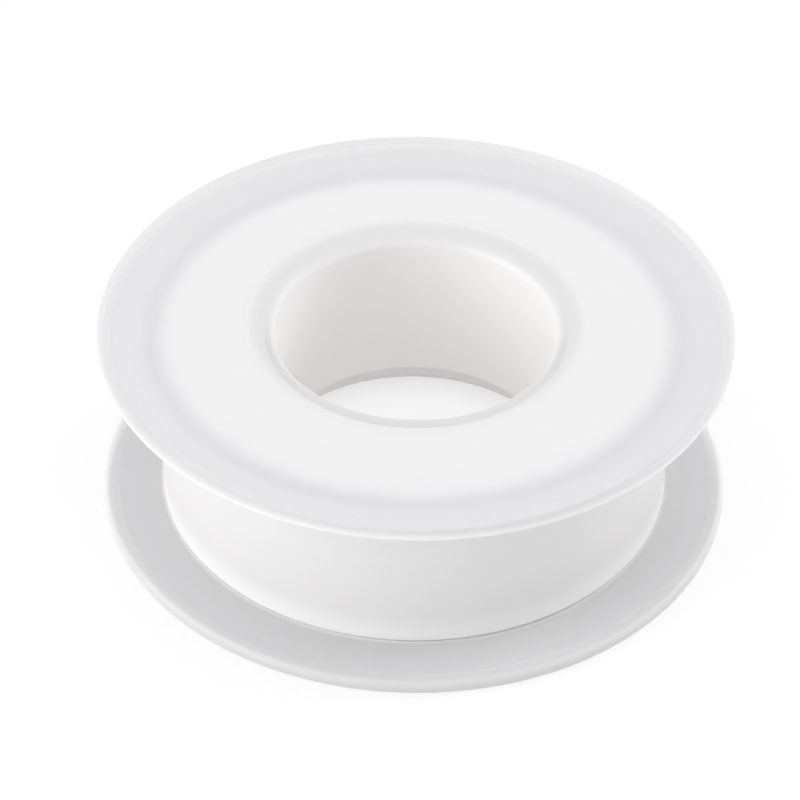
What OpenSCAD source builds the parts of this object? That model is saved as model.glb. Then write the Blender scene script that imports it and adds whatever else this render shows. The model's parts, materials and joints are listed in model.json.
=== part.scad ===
// Thread seal tape roll: a spool moulded in two halves that snap together,
// with a thin white tape wound on its hub.
// The spool stands on the rim of its lower flange. Z is the axis, and z = 0 is the floor.

/* [Tape] */
// Width of the tape
tape_width = 12; // [8:0.5:25]
// Thickness of one layer of tape
tape_thickness = 0.075; // [0.05:0.005:0.2]
// Depth of the wound tape on the hub
winding_depth = 6.25; // [2:0.05:10]
// Clearance under the innermost layer, under the outermost one and under the edges of those between
layer_clearance = 0.02; // [0.01:0.01:0.05]
// Free space between the outermost turn and each flange
side_clearance = 0.25; // [0.2:0.05:0.5]

/* [Free end of the tape] */
// Length of the free end that peels off the roll
free_end_length = 24; // [10:1:40]
// Where the tip of the free end lies, in degrees round the axis from +X
free_end_tip = 125; // [0:5:355]
// Gap between the tip and the start of the outermost turn
tip_gap = 0.5; // [0.4:0.1:2]
// Slit where the free end bends away from the outermost turn
bend_slit = 0.3; // [0.2:0.05:1]

/* [Flanges] */
// How far both flanges stand out past the wound tape
flange_overhang = 4.05; // [1.5:0.05:12]
// Thickness of a flange inside its rim
web_thickness = 0.8; // [0.6:0.1:2]
// Width of the thick rim round each flange
rim_width = 0.9; // [0.6:0.1:1.6]
// How far the rim stands proud of each side of its flange
rim_proud = 0.1; // [0.05:0.05:0.15]
// Radius of the rounded edges of the rim
rim_edge_radius = 0.4; // [0.1:0.05:0.6]

/* [Hub] */
// Diameter of the bore
bore_diameter = 19; // [12:0.5:28]
// Wall of the sleeve that lines the bore
sleeve_wall = 0.75; // [0.5:0.05:1.2]
// Wall of the hub that carries the tape
hub_wall = 0.9; // [0.6:0.05:1.2]
// How far the rounded mouth of the bore flares out
mouth_flare = 1.8; // [0.3:0.1:2.4]
// How deep the rounded mouth reaches into the bore
mouth_depth = 1.1; // [0.3:0.1:1.4]
// Height of the hub left bare under the end of the sleeve
sleeve_setback = 2.4; // [1.8:0.1:5]
// How far the lower end of the hub flares out
lip_flare = 2; // [0.3:0.1:2]
// How far up the hub that flare starts
lip_depth = 1.6; // [0.3:0.1:1.8]

/* [Snap joint] */
// Radial clearance between the sleeve and the hub
sleeve_clearance = 0.05; // [0.02:0.01:0.1]
// How far the snap bead stands proud of the sleeve
bead_height = 0.2; // [0.1:0.05:0.4]
// Length of the crest of the snap bead
bead_crest = 0.4; // [0.2:0.1:1]
// Height of the crest above the end of the sleeve
bead_offset = 1.2; // [0.8:0.1:3]
// Bevel on the edges that lead the sleeve into the hub
lead_in = 0.2; // [0.1:0.05:0.3]

/* [Detail] */
// Straight steps in each quarter round of a section
round_steps = 8; // [4:1:16]
// Degrees of the spiral in each facet of the outermost turn
spiral_step = 2; // [1:0.5:4]

/* [Hidden] */
$fn = 96;

// Radii, from the bore outwards
bore_r = bore_diameter / 2;
sleeve_r = bore_r + sleeve_wall;
hub_in_r = sleeve_r + sleeve_clearance;
hub_r = hub_in_r + hub_wall;
pack_in_r = hub_r + layer_clearance;
wound_r = hub_r + winding_depth;
pack_r = wound_r - 2 * tape_thickness - layer_clearance;
flange_r = wound_r + flange_overhang;
rim_in_r = flange_r - rim_width;
rim_round = min(rim_edge_radius, rim_width / 2, web_thickness / 2 + rim_proud);

// Heights above the floor: undersides of the flanges, tape, end of the sleeve, crest of the bead.
// The inner layers lie on the lower flange, and the outermost turn clears its rim.
base_z = rim_proud;
base_top = base_z + web_thickness;
pack_z = base_top + layer_clearance;
tape_z = base_top + side_clearance;
cap_z = tape_z + tape_width + side_clearance;
cap_top = cap_z + web_thickness;
sleeve_z = base_z + sleeve_setback;
bead_z = sleeve_z + bead_offset;

// The outermost turn and the free end share one spiral, counted in degrees from the tip
degrees_per_mm = 180 / (PI * wound_r);
tip_turn = 360 - tip_gap * degrees_per_mm;
root_turn = tip_turn - free_end_length * degrees_per_mm;
slit_turn = root_turn - bend_slit * degrees_per_mm;

function polar(r, a) = [r * cos(a), r * sin(a)];

// Points round part of an ellipse
function arc(centre, radii, from, to) =
    [for (i = [0:round_steps])
        let (a = from + (to - from) * i / round_steps)
        centre + [radii[0] * cos(a), radii[1] * sin(a)]];

function reversed(points) = [for (i = [len(points) - 1:-1:0]) points[i]];

// Inner radius of the outermost layer of tape, which climbs one thickness in a turn
function layer_r(turn) = pack_r + layer_clearance + tape_thickness * turn / 360;

// Points along the outermost layer, at a height above its inner side
function spiral(from, to, height) =
    let (steps = ceil((to - from) / spiral_step))
    [for (i = [0:steps])
        let (turn = from + (to - from) * i / steps)
        polar(layer_r(turn) + height, turn + free_end_tip)];

// Least distance between points that lie at least half the strip apart
function least_gap(points) =
    let (last = len(points) - 1, half = floor(last / 2))
    min([for (i = [0:last - half], j = [i + half:1:last]) norm(points[i] - points[j])]);

// Section of a flange's rim, from the web's underside round to its upper side
function rim_section(z) =
    let (
        top = z + web_thickness,
        round_r = flange_r - rim_round,
        radii = [rim_round, rim_round])
    concat(
        [[rim_in_r - rim_proud, z], [rim_in_r, z - rim_proud]],
        arc([round_r, z - rim_proud + rim_round], radii, 270, 360),
        arc([round_r, top + rim_proud - rim_round], radii, 0, 90),
        [[rim_in_r, top + rim_proud], [rim_in_r - rim_proud, top]]);

// Section of the snap bead on a wall of radius r, and of its groove, from the bottom up
function bead_section(r) = [
    [r, bead_z - bead_height],
    [r + bead_height, bead_z],
    [r + bead_height, bead_z + bead_crest],
    [r, bead_z + bead_crest + bead_height]];

// Lower half: flange and hub. The tape is wound on the hub.
module spool_base() {
    color([0.9, 0.91, 0.93]) rotate_extrude() polygon(concat(
        arc([hub_in_r + lip_flare, base_z + lip_depth], [lip_flare, lip_depth], 180, 270),
        rim_section(base_z),
        [[hub_r, base_top], [hub_r, cap_z], [hub_in_r + lead_in, cap_z], [hub_in_r, cap_z - lead_in]],
        reversed(bead_section(hub_in_r))));
}

// Upper half: flange and sleeve. The sleeve lines the bore and snaps into the hub.
module spool_cap() {
    color([0.93, 0.94, 0.96]) rotate_extrude() polygon(concat(
        [[bore_r, sleeve_z], [sleeve_r - lead_in, sleeve_z], [sleeve_r, sleeve_z + lead_in]],
        bead_section(sleeve_r),
        [[sleeve_r, cap_z]],
        rim_section(cap_z),
        arc([bore_r + mouth_flare, cap_top - mouth_depth], [mouth_flare, mouth_depth], 90, 180)));
}

// The inner layers of tape, as one ring
module tape_pack() {
    color([0.98, 0.98, 0.97]) rotate_extrude()
        translate([pack_in_r, pack_z]) square([pack_r - pack_in_r, tape_width]);
}

// A stretch of the outermost layer of tape
module tape_strip(from, to) {
    color([0.98, 0.98, 0.97]) translate([0, 0, tape_z]) linear_extrude(height = tape_width)
        polygon(concat(spiral(from, to, tape_thickness), reversed(spiral(from, to, 0))));
}

// The outermost turn, from beside the tip to where the free end bends away
module tape_outer_turn() {
    tape_strip(0, slit_turn);
}

// The free end as it lies on the roll. It peels off about the upright line at its root.
module tape_free_end() {
    tape_strip(root_turn, tip_turn);
}

peel_line = polar(layer_r(root_turn), root_turn + free_end_tip);
echo(str("least gap of the outermost turn to itself: ", least_gap(spiral(0, slit_turn, 0)), " mm"));
echo(str("line that the free end peels about: ", peel_line, " mm"));

spool_base();
spool_cap();
tape_pack();
tape_outer_turn();
tape_free_end();
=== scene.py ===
# Looks of a thread seal tape roll: a translucent spool snapped together from two halves,
# and the white film that is wound on it. Lengths are in metres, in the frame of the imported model.

import json
import math

import bmesh
import bpy
from mathutils import Matrix, Vector, noise


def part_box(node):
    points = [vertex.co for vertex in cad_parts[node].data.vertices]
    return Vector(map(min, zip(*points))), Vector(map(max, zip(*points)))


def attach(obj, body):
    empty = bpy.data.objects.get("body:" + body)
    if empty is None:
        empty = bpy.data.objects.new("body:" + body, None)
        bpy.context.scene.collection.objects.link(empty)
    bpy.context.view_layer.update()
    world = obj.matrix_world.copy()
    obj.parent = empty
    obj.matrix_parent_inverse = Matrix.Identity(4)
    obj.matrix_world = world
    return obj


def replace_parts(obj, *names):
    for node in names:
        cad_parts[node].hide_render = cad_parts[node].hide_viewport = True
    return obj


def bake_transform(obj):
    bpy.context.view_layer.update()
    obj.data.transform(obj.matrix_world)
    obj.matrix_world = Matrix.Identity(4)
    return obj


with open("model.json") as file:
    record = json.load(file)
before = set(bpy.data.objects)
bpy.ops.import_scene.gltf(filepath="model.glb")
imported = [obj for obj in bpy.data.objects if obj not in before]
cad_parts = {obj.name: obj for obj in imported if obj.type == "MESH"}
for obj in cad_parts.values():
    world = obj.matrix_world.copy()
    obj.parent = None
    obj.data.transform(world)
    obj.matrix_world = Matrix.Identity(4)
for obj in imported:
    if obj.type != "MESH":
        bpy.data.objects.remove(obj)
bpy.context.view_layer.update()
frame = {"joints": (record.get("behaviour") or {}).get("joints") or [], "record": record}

MM = 0.001

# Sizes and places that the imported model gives
FLANGE_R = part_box("spool_base")[1].x
CAP_UNDER_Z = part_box("spool_base")[1].z
SLEEVE_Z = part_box("spool_cap")[0].z
PACK_LOW_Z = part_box("tape_pack")[0].z
PACK_HIGH_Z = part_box("tape_pack")[1].z
PACK_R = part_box("tape_pack")[1].x
TAPE_LOW_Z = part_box("tape_outer_turn")[0].z
TAPE_HIGH_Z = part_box("tape_outer_turn")[1].z
BORE_R = frame["record"]["mounts"][0]["dims"]["r_mm"] * MM
PEEL_LINE = Vector(frame["joints"][0]["pos_m"])

# Spool
WEB_THICKNESS = 0.8 * MM
RIM_WIDTH = 0.9 * MM
RIM_PROUD = 0.1 * MM
RIM_EDGE_R = 0.4 * MM
SLEEVE_WALL = 0.75 * MM
SLEEVE_CLEARANCE = 0.05 * MM
HUB_WALL = 0.9 * MM
MOUTH_FLARE = 1.8 * MM
MOUTH_DEPTH = 1.1 * MM
LIP_FLARE = 2.0 * MM
LIP_DEPTH = 1.6 * MM
LEAD_IN = 0.2 * MM
BEAD_HEIGHT = 0.2 * MM
BEAD_CREST = 0.4 * MM
BEAD_OFFSET = 1.2 * MM
SOFT_EDGE = 0.06 * MM
EDGE_STEPS = 5
FLARE_STEPS = 14
ROUND_STEPS = 256
SHARP_ANGLE = math.radians(60)

# Tape
FILM_THICKNESS = 0.075 * MM
LAYER_CLEARANCE = 0.02 * MM
FREE_LENGTH = 24 * MM
TIP_GAP = 0.5 * MM
ROOT_OVERLAP = 2 * MM
FILM_CUTS = 39
FILM_STEP = 0.4 * MM
PACK_BANDS = 30
BAND_UNEVEN = 0.06 * MM
BAND_STEP, HIGH_BAND_ROW = 1.7, 5
TEAR_DEPTH = 0.5 * MM
TEAR_REACH = 4 * TEAR_DEPTH
TEAR_SCALE = 1.1 / MM

# Grain of both materials
BUMP_DEPTH = 0.02 * MM
ROUGH_SPREAD = 0.1

# Milky plastic: how far its zones blend, its colours with their painted shade and painted light, the shares
# of its light, and its grain
TAPE_BLUR = 0.5 * MM
FLARE_BLEND = 0.5 * MM
PLASTIC_DEEP, PLASTIC_PALE = (0.927, 0.926, 0.933), (0.947, 0.946, 0.953)
# Painted shade: a darker colour on the flares round the bore
PLASTIC_FLARE_SHADE = (0.785, 0.783, 0.786)
PLASTIC_GLOW = (0.8, 0.8, 0.813)
FILLED_DEEP, FILLED_PALE = (0.972, 0.957, 0.955), (0.987, 0.973, 0.972)
# Painted shade: past the tape's edge the filled colour turns this grey, for the shaded gap under the upper
# flange
PAINTED_GAP_SHADE = (0.71, 0.708, 0.742)
PLASTIC_IOR = 1.49
GLOW_SHARE = 0.25
SIGHT_UNDER, SIGHT_UPPER, SIGHT_LOWER = 0.1, 0.5, 0.28
FLARE_HAZE = 0.8
# How much less of the flares' painted shade lies below the mouth, in the throat
THROAT_LESS_SHADE = 0.45
# Painted light on the lower flange: a lift beside the tape, where its corner lies in shade, and a faint lift
# over its whole upper face
BESIDE_TAPE_LIGHT, LOW_FACE_LIGHT = 0.15, 0.1
# Painted highlights along the rims' outer edges: faint on the lower rim's top corner, strong on the upper
# rim's edge toward its underside
LOW_EDGE_HIGHLIGHT, HIGH_EDGE_HIGHLIGHT = 0.15, 0.8
# Painted light on the small steps at the rims' inner feet, which lightens the line of shade there
LOW_STEP_LIGHT, HIGH_STEP_LIGHT = 0.22, 0.15
CLOUD_SCALE, GRAIN_SCALE = 160.0, 3200.0
PLASTIC_ROUGH, PLASTIC_BUMP = 0.4, 0.15

# White film: the bands of painted light along its edges, its colours, and its grain
# Painted light: the widths of the lighter bands along the film's edges, widest at the lower edge
LOW_LIGHT_BAND, HIGH_LIGHT_BAND = 2.4 * MM, 1.4 * MM
FILM_DEEP, FILM_PALE = (0.79, 0.778, 0.783), (0.83, 0.819, 0.824)
# Painted light: the colour that the film's edges are lifted to
FILM_EDGE_LIGHT = (0.97, 0.965, 0.967)
FILM_IOR = 1.36
STREAK_STRETCH = 0.03
STREAK_SCALE, BAND_SCALE = 1800.0, 350.0
FILM_ROUGH, FILM_BUMP = 0.5, 0.3

# Stage: a paper floor, a white room, and soft boxes at one distance, in metres
FLOOR_HALF = 1.5
PAPER_LIT, PAPER_SHADED, PAPER_GLOW = 0.95, 0.3, 0.7
ROOM_LIGHT = 0.66
LAMP_DISTANCE = 0.5

# The photograph's camera
CAMERA_ELEVATION, CAMERA_DISTANCE, CAMERA_MIDDLE_Z = math.radians(39.47), 260 * MM, 7.2 * MM
CAMERA_PITCH, CAMERA_YAW, CAMERA_ROLL = math.radians(39.45), math.radians(0.29), math.radians(0.6)
CAMERA_LENS, CAMERA_SENSOR = 170.62, 36
CAMERA_CLIP = 10 * MM

# Radii and heights that follow from the values above
BASE_Z = RIM_PROUD
BASE_TOP_Z = BASE_Z + WEB_THICKNESS
CAP_TOP_Z = CAP_UNDER_Z + WEB_THICKNESS
RIM_IN_R = FLANGE_R - RIM_WIDTH
SLEEVE_R = BORE_R + SLEEVE_WALL
HUB_IN_R = SLEEVE_R + SLEEVE_CLEARANCE
HUB_R = HUB_IN_R + HUB_WALL
BEAD_Z = SLEEVE_Z + BEAD_OFFSET
FILM_R = PACK_R + LAYER_CLEARANCE
WOUND_R = FILM_R + 2 * FILM_THICKNESS

# The film's place along the roll is its turn, in radians. It is 0 beside the tip of the free end.
TIP_TURN = 2 * math.pi - TIP_GAP / WOUND_R
ROOT_TURN = TIP_TURN - FREE_LENGTH / WOUND_R
START_ANGLE = math.atan2(PEEL_LINE.y, PEEL_LINE.x) - ROOT_TURN
JOIN_TURN = ROOT_TURN - ROOT_OVERLAP / WOUND_R


# Shader maths

class Value:
    """A socket that gives a value. An operator on it adds one Math node to its finish."""

    def __init__(self, finish, socket):
        self.finish = finish
        self.socket = socket

    def math(self, operation, *values):
        return self.finish.node("ShaderNodeMath", {"operation": operation}, *values)

    def __add__(self, other):
        return self.math("ADD", self, other)

    def __radd__(self, other):
        return self.math("ADD", other, self)

    def __sub__(self, other):
        return self.math("SUBTRACT", self, other)

    def __rsub__(self, other):
        return self.math("SUBTRACT", other, self)

    def __mul__(self, other):
        return self.math("MULTIPLY", self, other)

    def __rmul__(self, other):
        return self.math("MULTIPLY", other, self)

    def rises(self, low, high):
        """0 below low, 1 above high, and smooth between them."""
        return self.finish.node("ShaderNodeMapRange", {"interpolation_type": "SMOOTHSTEP"}, self, low, high)

    def falls(self, low, high):
        return 1 - self.rises(low, high)

    def least(self, other):
        return self.math("MINIMUM", self, other)


class Finish:
    """The nodes of one material, or of the world."""

    def __init__(self, owner):
        owner.use_nodes = True
        self.owner = owner
        self.tree = owner.node_tree
        self.tree.nodes.clear()

    def node(self, kind, settings=None, *values, out=None, **named):
        """Adds a node, sets its settings, then its sockets by place or by name, and gives an output."""
        made = self.tree.nodes.new(kind)
        for name, setting in (settings or {}).items():
            setattr(made, name, setting)
        sockets = [socket for socket in made.inputs if socket.enabled]
        by_name = {socket.name.replace(" ", "_"): socket for socket in sockets}
        filled = list(zip(sockets, values)) + [(by_name[name], value) for name, value in named.items()]
        for socket, value in filled:
            if isinstance(value, Value):
                self.tree.links.new(value.socket, socket)
            else:
                socket.default_value = value
        outputs = [socket for socket in made.outputs if socket.enabled and out in (None, socket.name)]
        return Value(self, outputs[0]) if outputs else None

    def tint(self, factor, low, high):
        """A colour that goes from low to high with the factor. Each end is a colour or a socket."""
        ends = [end if isinstance(end, Value) else (*end, 1) for end in (low, high)]
        return self.node("ShaderNodeMix", {"data_type": "RGBA"}, factor, *ends)

    def either(self, factor, first, second):
        """The first shader, and the second where the factor is 1."""
        return self.node("ShaderNodeMixShader", None, factor, first, second)

    def surface(self, shader):
        """Shows this shader, and gives the material or the world."""
        kind = "World" if isinstance(self.owner, bpy.types.World) else "Material"
        self.node("ShaderNodeOutput" + kind, None, Surface=shader)
        return self.owner


def filled_and_painted_light_share(radius, height, lower_half):
    """How far the plastic looks filled and white.

    It is filled against the tape and in the bore. It also carries painted light: a lift on the lower flange
    beside the tape and faintly over its whole upper face, painted highlights along the rims' outer edges,
    and painted light on the steps at the rims' inner feet.
    """
    upper_half = 1 - lower_half
    past_sleeve = radius.rises(SLEEVE_R - LEAD_IN, SLEEVE_R)
    # Painted light: the lower flange is lifted towards white beside the tape, where its corner lies in shade
    beside_tape_light = BESIDE_TAPE_LIGHT * radius.falls(WOUND_R, WOUND_R + 3 * TAPE_BLUR)
    # Painted light: a faint lift towards white over the lower flange's whole upper face is added here too
    under_tape = (
        (radius.falls(WOUND_R - TAPE_BLUR / 2, WOUND_R + TAPE_BLUR / 2) + beside_tape_light + LOW_FACE_LIGHT)
        * height.rises(BASE_Z, BASE_TOP_Z - SOFT_EDGE))
    over_tape = (
        radius.falls(WOUND_R + TAPE_BLUR, WOUND_R + 3 * TAPE_BLUR)
        * height.falls(CAP_UNDER_Z + SOFT_EDGE, CAP_TOP_Z - TAPE_BLUR))
    on_tape = past_sleeve * (lower_half * under_tape + upper_half * over_tape)
    in_bore = (
        (1 - past_sleeve)
        * height.rises(BASE_Z, BASE_TOP_Z)
        * height.falls(CAP_UNDER_Z - MOUTH_DEPTH / 2, CAP_UNDER_Z + WEB_THICKNESS / 2))
    # Painted highlights on the rims' outer edges: faint on the lower rim's top corner, strong on the upper
    # rim's edge toward its underside
    low_edge_light = LOW_EDGE_HIGHLIGHT * lower_half * height.rises(BASE_TOP_Z - RIM_EDGE_R, BASE_TOP_Z)
    high_edge_light = HIGH_EDGE_HIGHLIGHT * upper_half * height.falls(CAP_UNDER_Z, CAP_TOP_Z)
    rim_edge_highlight = radius.rises(FLANGE_R - RIM_EDGE_R, FLANGE_R - RIM_EDGE_R / 2) * (low_edge_light + high_edge_light)
    # Painted light on the small steps at the rims' inner feet, which lightens the line of shade there
    rim_step_light = (
        radius.rises(RIM_IN_R - 2 * RIM_PROUD, RIM_IN_R - RIM_PROUD)
        * radius.falls(RIM_IN_R, RIM_IN_R + RIM_PROUD)
        * (LOW_STEP_LIGHT * lower_half + HIGH_STEP_LIGHT * upper_half))
    return on_tape + in_bore + rim_edge_highlight + rim_step_light


def past_tape_share(radius, lower_half):
    """1 on the upper half from the edge of the tape to the rim, where the plastic hangs free."""
    return (
        radius.rises(WOUND_R - 2 * TAPE_BLUR, WOUND_R + TAPE_BLUR)
        * radius.falls(RIM_IN_R, RIM_IN_R + RIM_PROUD)
        * (1 - lower_half))


def sight_share(height, lower_half, flare):
    """How far near things show through the plastic: most on the upper side, and little at the mouth."""
    upper_side = height.rises(CAP_UNDER_Z + RIM_PROUD, CAP_TOP_Z - RIM_PROUD)
    return (
        (SIGHT_UNDER + (SIGHT_UPPER - SIGHT_UNDER) * upper_side + (SIGHT_LOWER - SIGHT_UNDER) * lower_half)
        * (1 - FLARE_HAZE * flare))


def spool_plastic():
    """Milky natural polypropylene: it scatters some light, glows with some, and lets near things show.

    Light that leaves it from inside is softened, so only what lies close behind a wall is seen through it.
    """
    finish = Finish(bpy.data.materials.new("spool_plastic"))
    place = finish.node("ShaderNodeTexCoord", out="Object")
    flat = finish.node("ShaderNodeVectorMath", {"operation": "MULTIPLY"}, place, (1, 1, 0))
    radius = finish.node("ShaderNodeVectorMath", {"operation": "LENGTH"}, flat, out="Value")
    height = finish.node("ShaderNodeSeparateXYZ", None, place, out="Z")
    cloud = finish.node("ShaderNodeTexNoise", None, Vector=place, Scale=CLOUD_SCALE, Detail=3.0)
    grain = finish.node("ShaderNodeTexNoise", None, Vector=place, Scale=GRAIN_SCALE, Detail=2.0)
    bump = finish.node("ShaderNodeBump", None, Strength=PLASTIC_BUMP, Distance=BUMP_DEPTH, Height=grain)
    lower_half = height.falls(BASE_TOP_Z, SLEEVE_Z)
    flare = radius.falls(HUB_R - FLARE_BLEND, HUB_R + FLARE_BLEND)
    throat = flare * height.falls(CAP_UNDER_Z, CAP_TOP_Z)
    past_tape = past_tape_share(radius, lower_half)
    body = finish.tint(cloud, PLASTIC_DEEP, PLASTIC_PALE)
    # Painted shade: the flares round the bore are darker, fully at the mouth and less lower down
    body = finish.tint(flare - THROAT_LESS_SHADE * throat, body, PLASTIC_FLARE_SHADE)
    # Painted shade: past the tape's edge the filled colour is grey, for the shaded gap under the upper
    # flange
    white = finish.tint(past_tape, finish.tint(cloud, FILLED_DEEP, FILLED_PALE), PAINTED_GAP_SHADE)
    milky, filled = [
        finish.node(
            "ShaderNodeBsdfPrincipled", None,
            Base_Color=colour,
            Roughness=PLASTIC_ROUGH + ROUGH_SPREAD * cloud,
            IOR=PLASTIC_IOR,
            Normal=bump)
        for colour in (body, white)]
    glow = finish.node("ShaderNodeBsdfTranslucent", None, Color=(*PLASTIC_GLOW, 1), Normal=bump)
    clear = finish.node("ShaderNodeBsdfTransparent")
    scattered = finish.either(GLOW_SHARE * (1 - throat), milky, glow)
    outside = finish.either(sight_share(height, lower_half, flare), scattered, clear)
    from_inside = finish.node("ShaderNodeNewGeometry", out="Backfacing")
    skin = finish.either(from_inside, outside, glow)
    return finish.surface(finish.either(filled_and_painted_light_share(radius, height, lower_half), skin, filled))


def tape_film():
    """Soft white film with faint streaks along it, and painted light in a band along each edge. The map's x
    runs along the tape.
    """
    finish = Finish(bpy.data.materials.new("tape_film"))
    unrolled = finish.node("ShaderNodeTexCoord", out="UV")
    across = finish.node("ShaderNodeSeparateXYZ", None, unrolled, out="Y")
    drawn = finish.node(
        "ShaderNodeMapping", {"vector_type": "POINT"}, Vector=unrolled, Scale=(STREAK_STRETCH, 1.0, 1.0))
    streak = finish.node("ShaderNodeTexNoise", None, Vector=drawn, Scale=STREAK_SCALE, Detail=3.0)
    band = finish.node("ShaderNodeTexNoise", None, Vector=drawn, Scale=BAND_SCALE, Detail=2.0)
    bump = finish.node("ShaderNodeBump", None, Strength=FILM_BUMP, Distance=BUMP_DEPTH, Height=streak + band)
    # Painted light: the film is lighter in a band along each edge, widest at the lower edge
    low_edge_light = across.falls(TAPE_LOW_Z, TAPE_LOW_Z + LOW_LIGHT_BAND)
    high_edge_light = across.rises(TAPE_HIGH_Z - HIGH_LIGHT_BAND, TAPE_HIGH_Z)
    film = finish.tint(streak * 0.5 + band * 0.5, FILM_DEEP, FILM_PALE)
    return finish.surface(finish.node(
        "ShaderNodeBsdfPrincipled", None,
        Base_Color=finish.tint(low_edge_light + high_edge_light, film, FILM_EDGE_LIGHT),
        Roughness=FILM_ROUGH + ROUGH_SPREAD * streak,
        IOR=FILM_IOR,
        Normal=bump))


# Modelling

def quarter(centre, reach, from_degrees):
    """Points of a quarter of an ellipse, in the plane of a section."""
    angles = [math.radians(from_degrees + 90 * step / FLARE_STEPS) for step in range(FLARE_STEPS + 1)]
    return [
        (centre[0] + reach[0] * math.cos(angle), centre[1] + reach[1] * math.sin(angle))
        for angle in angles]


def section(outline, edges):
    """A bmesh with a closed section as one face. Edges gives how far each named corner is rounded."""
    bm = bmesh.new()
    corners = {point: bm.verts.new((point[0], 0, point[1])) for point in outline}
    bm.faces.new(corners.values())
    for radius in sorted(set(edges.values())):
        rounded = [corners[point] for point, rounding in edges.items() if rounding == radius]
        bmesh.ops.bevel(
            bm, geom=rounded, offset=radius, segments=EDGE_STEPS, profile=0.5,
            affect="VERTICES", material=-1)
    return bm


def spin_ring(bm, steps):
    """Turns a section into a closed ring round the axis."""
    bmesh.ops.delete(bm, geom=bm.faces[:], context="FACES_ONLY")
    bmesh.ops.spin(
        bm, geom=bm.verts[:] + bm.edges[:], cent=(0, 0, 0), axis=(0, 0, 1),
        angle=2 * math.pi, steps=steps, use_merge=True)
    bmesh.ops.recalc_face_normals(bm, faces=bm.faces[:])


def piece(bm, name, material):
    """A smooth object from a bmesh, at the origin, with flat faces and sharp edges kept in its shading."""
    mesh = bpy.data.meshes.new(name)
    for face in bm.faces:
        face.smooth = True
    for edge in bm.edges:
        edge.smooth = edge.calc_face_angle(0) < SHARP_ANGLE
    bm.to_mesh(mesh)
    bm.free()
    mesh.materials.append(material)
    made = bpy.data.objects.new(name, mesh)
    bpy.context.scene.collection.objects.link(made)
    made.modifiers.new("even_shading", "WEIGHTED_NORMAL").keep_sharp = True
    return made


# Spool

def rim(z):
    """Corners of a flange's rim from the web's underside round to its upper side, and their rounding."""
    top = z + WEB_THICKNESS
    low_in, low_out = (RIM_IN_R, z - RIM_PROUD), (FLANGE_R, z - RIM_PROUD)
    high_out, high_in = (FLANGE_R, top + RIM_PROUD), (RIM_IN_R, top + RIM_PROUD)
    foot_low, foot_high = (RIM_IN_R - RIM_PROUD, z), (RIM_IN_R - RIM_PROUD, top)
    soft = {point: SOFT_EDGE for point in (foot_low, low_in, high_in, foot_high)}
    return [foot_low, low_in, low_out, high_out, high_in, foot_high], {
        low_out: RIM_EDGE_R, high_out: RIM_EDGE_R, **soft}


def snap(radius):
    """Corners of the snap bead on a wall, or of its groove, from the bottom up."""
    return [
        (radius, BEAD_Z - BEAD_HEIGHT),
        (radius + BEAD_HEIGHT, BEAD_Z),
        (radius + BEAD_HEIGHT, BEAD_Z + BEAD_CREST),
        (radius, BEAD_Z + BEAD_CREST + BEAD_HEIGHT)]


def spool_base(material):
    lip = quarter((HUB_IN_R + LIP_FLARE, BASE_Z + LIP_DEPTH), (LIP_FLARE, LIP_DEPTH), 180)
    flange, edges = rim(BASE_Z)
    hub_end = CAP_UNDER_Z - LAYER_CLEARANCE
    root, crown = (HUB_R, BASE_TOP_Z), (HUB_R, hub_end)
    inner = [(HUB_IN_R + LEAD_IN, hub_end), (HUB_IN_R, hub_end - LEAD_IN)]
    bm = section(lip + flange + [root, crown] + inner + snap(HUB_IN_R)[::-1], edges)
    spin_ring(bm, ROUND_STEPS)
    made = piece(bm, "spool_lower_half", material)
    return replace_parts(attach(made, "roll"), "spool_base")


def spool_cap(material):
    mouth = quarter((BORE_R + MOUTH_FLARE, CAP_TOP_Z - MOUTH_DEPTH), (MOUTH_FLARE, MOUTH_DEPTH), 90)
    flange, edges = rim(CAP_UNDER_Z)
    bore_end, lead = (BORE_R, SLEEVE_Z), (SLEEVE_R - LEAD_IN, SLEEVE_Z)
    edges[bore_end] = SOFT_EDGE
    wall = [lead, (SLEEVE_R, SLEEVE_Z + LEAD_IN)] + snap(SLEEVE_R) + [(SLEEVE_R, CAP_UNDER_Z)]
    bm = section([bore_end] + wall + flange + mouth, edges)
    spin_ring(bm, ROUND_STEPS)
    made = piece(bm, "spool_upper_half", material)
    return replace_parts(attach(made, "roll"), "spool_cap")


# Tape

def turn_of(co, middle):
    """The turn at a point, within half a turn of the middle."""
    angle = math.atan2(co.y, co.x) - START_ANGLE - middle
    return middle + math.remainder(angle, 2 * math.pi)


def unroll(bm, middle):
    """Maps the film flat: x along its length and y across it, in metres."""
    flat = bm.loops.layers.uv.new("film")
    for face in bm.faces:
        centre = turn_of(face.calc_center_median(), middle)
        for loop in face.loops:
            loop[flat].uv = turn_of(loop.vert.co, centre) * WOUND_R, loop.vert.co.z


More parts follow.
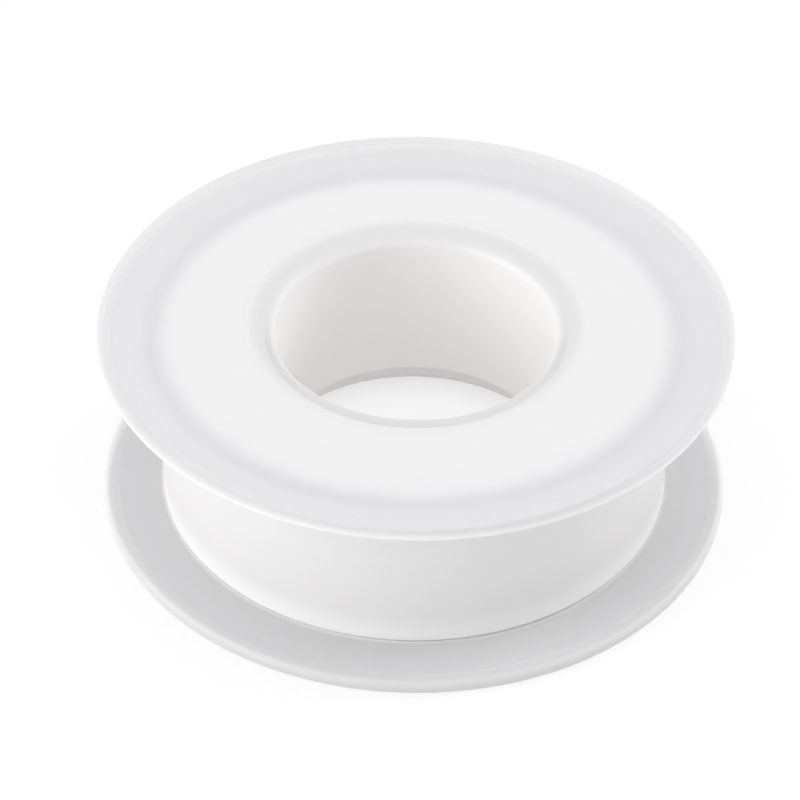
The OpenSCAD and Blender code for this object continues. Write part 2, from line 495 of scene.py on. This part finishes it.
def film_strip(from_turn, to_turn):
    """A stretch of the outermost layer, wound as a spiral that climbs one thickness in a turn."""
    low, high, out = TAPE_LOW_Z, TAPE_HIGH_Z, FILM_R + FILM_THICKNESS
    bm = section([(FILM_R, low), (out, low), (out, high), (FILM_R, high)], {})
    long_edges = [
        edge for edge in bm.edges
        if abs(edge.verts[0].co.z - edge.verts[1].co.z) > FILM_THICKNESS]
    bmesh.ops.subdivide_edges(bm, edges=long_edges, cuts=FILM_CUTS, use_grid_fill=True)
    bmesh.ops.rotate(
        bm, verts=bm.verts[:], cent=(0, 0, 0), matrix=Matrix.Rotation(START_ANGLE + from_turn, 3, "Z"))
    bmesh.ops.spin(
        bm, geom=bm.verts[:] + bm.edges[:] + bm.faces[:], cent=(0, 0, 0), axis=(0, 0, 1),
        angle=to_turn - from_turn, steps=math.ceil((to_turn - from_turn) * WOUND_R / FILM_STEP))
    bmesh.ops.recalc_face_normals(bm, faces=bm.faces[:])
    middle = (from_turn + to_turn) / 2
    for vert in bm.verts:
        outward = Vector((vert.co.x, vert.co.y, 0)).normalized()
        vert.co += outward * FILM_THICKNESS * turn_of(vert.co, middle) / (2 * math.pi)
    unroll(bm, middle)
    return bm


def tape_pack(material):
    """The inner layers, whose edges don't lie quite level."""
    inner, width = HUB_R + LAYER_CLEARANCE, PACK_R - HUB_R - 2 * LAYER_CLEARANCE
    low, high = [], []
    for band in range(PACK_BANDS):
        from_r, to_r = (inner + width * (band + end) / PACK_BANDS for end in (0, 1))
        dip = BAND_UNEVEN * (1 + noise.noise((band * BAND_STEP, 0, 0))) / 2
        rise = BAND_UNEVEN * (1 + noise.noise((band * BAND_STEP, HIGH_BAND_ROW, 0))) / 2
        low += [(from_r, PACK_LOW_Z + dip), (to_r, PACK_LOW_Z + dip)]
        high += [(from_r, PACK_HIGH_Z - rise), (to_r, PACK_HIGH_Z - rise)]
    bm = section(low + high[::-1], {})
    spin_ring(bm, ROUND_STEPS)
    unroll(bm, math.pi)
    made = piece(bm, "tape_wound_layers", material)
    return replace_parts(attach(made, "roll"), "tape_pack")


def tape_outer_turn(material):
    """The outermost turn, which goes on under the free end."""
    made = piece(film_strip(ROOT_TURN - 2 * math.pi, JOIN_TURN), "tape_top_turn", material)
    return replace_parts(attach(made, "roll"), "tape_outer_turn")


def tape_free_end(material):
    """The free end with its torn tip, which goes on round the roll from the end of the outermost turn."""
    bm = film_strip(JOIN_TURN, TIP_TURN)
    for vert in bm.verts:
        turn = turn_of(vert.co, ROOT_TURN)
        near_tip = max(0, 1 - (TIP_TURN - turn) * WOUND_R / TEAR_REACH)
        ragged = TEAR_DEPTH * (0.5 + 0.5 * noise.noise((vert.co.z * TEAR_SCALE, 0, 0)))
        back = Vector((vert.co.y, -vert.co.x, 0)).normalized()
        vert.co += back * ragged * near_tip
    made = piece(bm, "tape_loose_end", material)
    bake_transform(made)
    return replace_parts(made, "tape_free_end")


# Stage

def seen(finish):
    """1 for the rays that show a surface as it looks, and 0 for those that only carry light."""
    camera_ray, glossy_ray, clear_ray, soft_ray = [
        finish.node("ShaderNodeLightPath", out=name)
        for name in ("Is Camera Ray", "Is Glossy Ray", "Is Transmission Ray", "Is Diffuse Ray")]
    return (camera_ray + glossy_ray + clear_ray).least(1) * (1 - soft_ray)


def floor_paper():
    """White paper. Part of its light is its own where it is seen, so that it stays white round the roll."""
    finish = Finish(bpy.data.materials.new("floor_paper"))
    lit, shaded = [
        finish.node("ShaderNodeBsdfDiffuse", None, Color=(grey, grey, grey, 1))
        for grey in (PAPER_LIT, PAPER_SHADED)]
    glow = finish.node("ShaderNodeEmission", None, Color=(1, 1, 1, 1), Strength=PAPER_GLOW)
    paper = finish.node("ShaderNodeAddShader", None, shaded, glow)
    return finish.surface(finish.either(seen(finish), lit, paper))


def floor():
    mesh = bpy.data.meshes.new("floor")
    bm = bmesh.new()
    bmesh.ops.create_grid(bm, x_segments=1, y_segments=1, size=FLOOR_HALF)
    bm.to_mesh(mesh)
    bm.free()
    mesh.materials.append(floor_paper())
    made = bpy.data.objects.new("floor", mesh)
    bpy.context.scene.collection.objects.link(made)


def surroundings():
    """An even white room, which is plain white where it is seen."""
    finish = Finish(bpy.data.worlds.new("room"))
    shown = seen(finish)
    bpy.context.scene.world = finish.surface(finish.node(
        "ShaderNodeBackground", None, Color=(1, 1, 1, 1), Strength=ROOM_LIGHT + shown * (1 - ROOM_LIGHT)))


def lamp(name, azimuth, elevation, size, power):
    """A square soft box that looks at the roll. Azimuth 0 is in front of it, and 90 to its right."""
    light = bpy.data.lights.new(name, "AREA")
    light.size = size
    light.energy = power
    made = bpy.data.objects.new(name, light)
    bpy.context.scene.collection.objects.link(made)
    across, up = math.radians(azimuth), math.radians(elevation)
    away = Vector((math.sin(across) * math.cos(up), -math.cos(across) * math.cos(up), math.sin(up)))
    made.location = away * LAMP_DISTANCE
    made.rotation_euler = away.to_track_quat("Z", "Y").to_euler()


def camera():
    """The photograph's camera: a long lens that looks down on the roll from the front."""
    data = bpy.data.cameras.new("camera")
    data.sensor_width = CAMERA_SENSOR
    data.lens = CAMERA_LENS
    data.clip_start = CAMERA_CLIP
    made = bpy.data.objects.new("camera", data)
    bpy.context.scene.collection.objects.link(made)
    back = -CAMERA_DISTANCE * math.cos(CAMERA_ELEVATION)
    up = CAMERA_DISTANCE * math.sin(CAMERA_ELEVATION) + CAMERA_MIDDLE_Z
    turn = Matrix.Rotation(CAMERA_YAW, 4, "Z")
    tilt = Matrix.Rotation(math.pi / 2 - CAMERA_PITCH, 4, "X")
    lean = Matrix.Rotation(CAMERA_ROLL, 4, "Z")
    made.matrix_world = Matrix.Translation((0, back, up)) @ turn @ tilt @ lean
    bpy.context.scene.camera = made


plastic, film = spool_plastic(), tape_film()
spool_base(plastic)
spool_cap(plastic)
tape_pack(film)
tape_outer_turn(film)
tape_free_end(film)

floor()
surroundings()
lamp("side", azimuth=-72, elevation=18, size=0.4, power=1.17)
lamp("back", azimuth=115, elevation=26, size=0.25, power=0.76)
lamp("top", azimuth=0, elevation=85, size=0.4, power=0.52)
camera()
bpy.context.scene.view_settings.view_transform = "Standard"
